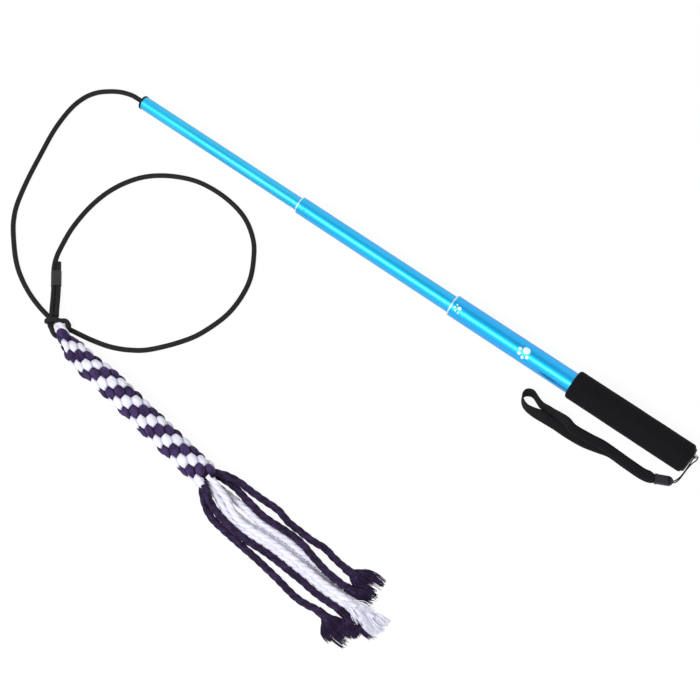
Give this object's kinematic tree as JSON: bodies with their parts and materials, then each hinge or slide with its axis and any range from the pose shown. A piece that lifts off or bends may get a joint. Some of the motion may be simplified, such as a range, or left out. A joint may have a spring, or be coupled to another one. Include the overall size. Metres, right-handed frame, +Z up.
{
  "type": "dog flirt pole",
  "caption": "Telescopic dog flirt pole with a foam grip, a wrist strap, an elastic cord from its tip and a braided rope lure with loose tails.",
  "frame": {"origin": "on the pole's axis, at the middle of the foam grip's length", "axes": "+X along the pole to its tip, +Y across the floor to the side where the lure lies, +Z up from the floor"},
  "size_m": [0.6745, 0.3092, 0.0276],
  "materials": {
    "blue_tube": "blue anodised, glossy",
    "foam": "matte closed-cell foam",
    "black_plastic": "satin moulded",
    "wire": "drawn wire",
    "nylon": "natural moulded nylon",
    "elastic_cord": "braided cover over a rubber core",
    "sleeve": "shrink sleeve, satin",
    "purple_rope": "soft cotton rope",
    "white_rope": "soft cotton rope",
    "webbing": "woven polyester",
    "clip_plastic": "satin moulded"
  },
  "bodies": {
    "handle": {"base_tube": "blue_tube", "base_guide": "nylon", "grip": "foam", "end_cap": "black_plastic", "staple": "wire"},
    "middle": {"middle_tube": "blue_tube", "middle_guide": "nylon", "middle_bush": "nylon"},
    "tip": {"tip_tube": "blue_tube", "tip_bush": "nylon", "tip_plug": "black_plastic", "stopper_knot": "elastic_cord", "pull_cord": "elastic_cord", "return_cord": "elastic_cord", "splice_sleeve": "sleeve"},
    "lure": {"hitch_knot": "elastic_cord", "noose": "elastic_cord", "lure_neck": "white_rope", "lure_braid": "purple_rope", "tail_purple_1": "purple_rope", "tail_purple_2": "purple_rope", "tail_purple_3": "purple_rope", "tail_purple_4": "purple_rope", "tail_white_1": "white_rope", "tail_white_2": "white_rope", "tail_white_3": "white_rope", "tail_white_4": "white_rope"},
    "strap": {"strap_string": "webbing", "strap_clip": "clip_plastic", "strap_webbing": "webbing"}
  },
  "joints": [
    {"name": "middle_slide", "type": "slide", "parent": "handle", "child": "middle", "axis": [1, 0, 0], "range_m": [-0.16, 0]},
    {"name": "tip_slide", "type": "slide", "parent": "middle", "child": "tip", "axis": [1, 0, 0], "range_m": [-0.176, 0], "deforming": ["pull_cord", "return_cord", "splice_sleeve"]},
    {"name": "lure_swing", "type": "hinge", "parent": "tip", "child": "lure", "pos_m": [0.4676, 0.2236, 0], "axis": [0, 0, 1], "range_deg": [-60, 0]},
    {"name": "strap_swing", "type": "hinge", "parent": "handle", "child": "strap", "pos_m": [-0.0632, -0.0055, 0], "axis": [0, 0, 1], "range_deg": [0, 120]}
  ]
}
